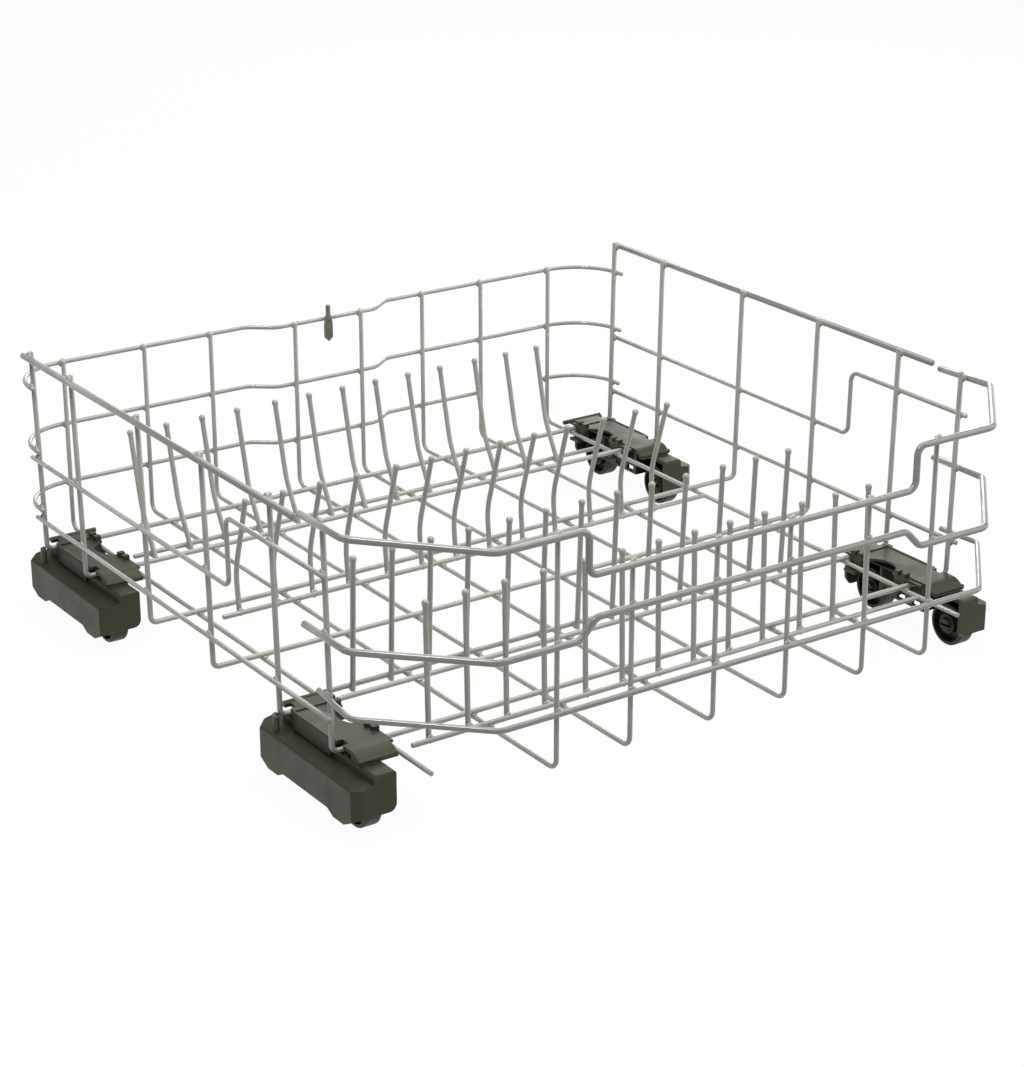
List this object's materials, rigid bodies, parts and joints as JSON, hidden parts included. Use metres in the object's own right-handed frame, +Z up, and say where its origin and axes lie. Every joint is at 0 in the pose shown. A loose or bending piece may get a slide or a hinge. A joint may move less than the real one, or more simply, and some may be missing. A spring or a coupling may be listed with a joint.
{
  "type": "dishwasher lower rack",
  "caption": "Lower dishwasher rack of welded, grey-coated steel wire with rows of plate tines, dipped front rails and clip-on roller assemblies whose wheels spin.",
  "frame": {"origin": "on the surface that the wheels stand on, under the middle of the rack", "axes": "+X to the right seen from the front, +Y from the dipped front rails to the back wall, +Z up"},
  "size_m": [0.5135, 0.531, 0.1939],
  "materials": {
    "coated_wire": "mid-grey nylon coating on steel wire, satin gloss",
    "coated_rail": "mid-grey nylon coating on thick steel wire, satin gloss",
    "coated_tine": "mid-grey nylon coating, thicker at the dipped tips",
    "bare_catch": "brownish grey, thinly coated flattened wire",
    "roller_cover": "dark charcoal moulded polypropylene, fine matte grain",
    "roller_clip": "dark charcoal moulded polypropylene, slightly glossy",
    "roller_wheel": "dark charcoal moulded acetal"
  },
  "bodies": {
    "basket": {"back_catch": "bare_catch", "back_wire_corner": "coated_wire", "back_wire_low": "coated_wire", "back_wire_middle": "coated_wire", "back_wire_top": "coated_wire", "cross_wire_1": "coated_wire", "cross_wire_2": "coated_wire", "cross_wire_3": "coated_wire", "cross_wire_4": "coated_wire", "cross_wire_5": "coated_wire", "cross_wire_6": "coated_wire", "front_rail_bottom": "coated_rail", "front_rail_middle": "coated_rail", "front_rail_top": "coated_rail", "length_wire_1": "coated_wire", "length_wire_2": "coated_wire", "length_wire_3": "coated_wire", "length_wire_4": "coated_wire", "length_wire_5": "coated_wire", "length_wire_6": "coated_wire", "length_wire_7": "coated_wire", "length_wire_8": "coated_wire", "roller_clip_front_left": "roller_clip", "roller_clip_front_right": "roller_clip", "roller_clip_rear_left": "roller_clip", "roller_clip_rear_right": "roller_clip", "roller_housing_front_left": "roller_cover", "roller_housing_front_right": "roller_cover", "roller_housing_rear_left": "roller_cover", "roller_housing_rear_right": "roller_cover", "side_low_wire_left": "coated_wire", "side_low_wire_right": "coated_wire", "side_middle_wire_left": "coated_wire", "side_middle_wire_right": "coated_wire", "side_top_wire_left": "coated_rail", "side_top_wire_right": "coated_rail", "tine_row_1": "coated_tine", "tine_row_2": "coated_tine", "tine_row_3": "coated_tine", "tine_row_4": "coated_tine"},
    "wheel_front_left_back": {"wheel_front_left_back": "roller_wheel"},
    "wheel_front_left_fore": {"wheel_front_left_fore": "roller_wheel"},
    "wheel_front_right_back": {"wheel_front_right_back": "roller_wheel"},
    "wheel_front_right_fore": {"wheel_front_right_fore": "roller_wheel"},
    "wheel_rear_left_back": {"wheel_rear_left_back": "roller_wheel"},
    "wheel_rear_left_fore": {"wheel_rear_left_fore": "roller_wheel"},
    "wheel_rear_right_back": {"wheel_rear_right_back": "roller_wheel"},
    "wheel_rear_right_fore": {"wheel_rear_right_fore": "roller_wheel"}
  },
  "joints": [
    {"name": "spin_rear_left_back", "type": "hinge", "parent": "basket", "child": "wheel_rear_left_back", "pos_m": [-0.2395, 0.22363, 0.0155], "axis": [1, 0, 0], "continuous": true},
    {"name": "spin_rear_left_fore", "type": "hinge", "parent": "basket", "child": "wheel_rear_left_fore", "pos_m": [-0.2395, 0.14463, 0.0155], "axis": [1, 0, 0], "continuous": true},
    {"name": "spin_rear_right_back", "type": "hinge", "parent": "basket", "child": "wheel_rear_right_back", "pos_m": [0.2395, 0.22363, 0.0155], "axis": [1, 0, 0], "continuous": true},
    {"name": "spin_rear_right_fore", "type": "hinge", "parent": "basket", "child": "wheel_rear_right_fore", "pos_m": [0.2395, 0.14463, 0.0155], "axis": [1, 0, 0], "continuous": true},
    {"name": "spin_front_left_back", "type": "hinge", "parent": "basket", "child": "wheel_front_left_back", "pos_m": [-0.2395, -0.10943, 0.0155], "axis": [1, 0, 0], "continuous": true},
    {"name": "spin_front_left_fore", "type": "hinge", "parent": "basket", "child": "wheel_front_left_fore", "pos_m": [-0.2395, -0.18843, 0.0155], "axis": [1, 0, 0], "continuous": true},
    {"name": "spin_front_right_back", "type": "hinge", "parent": "basket", "child": "wheel_front_right_back", "pos_m": [0.2395, -0.10943, 0.0155], "axis": [1, 0, 0], "continuous": true},
    {"name": "spin_front_right_fore", "type": "hinge", "parent": "basket", "child": "wheel_front_right_fore", "pos_m": [0.2395, -0.18843, 0.0155], "axis": [1, 0, 0], "continuous": true}
  ]
}
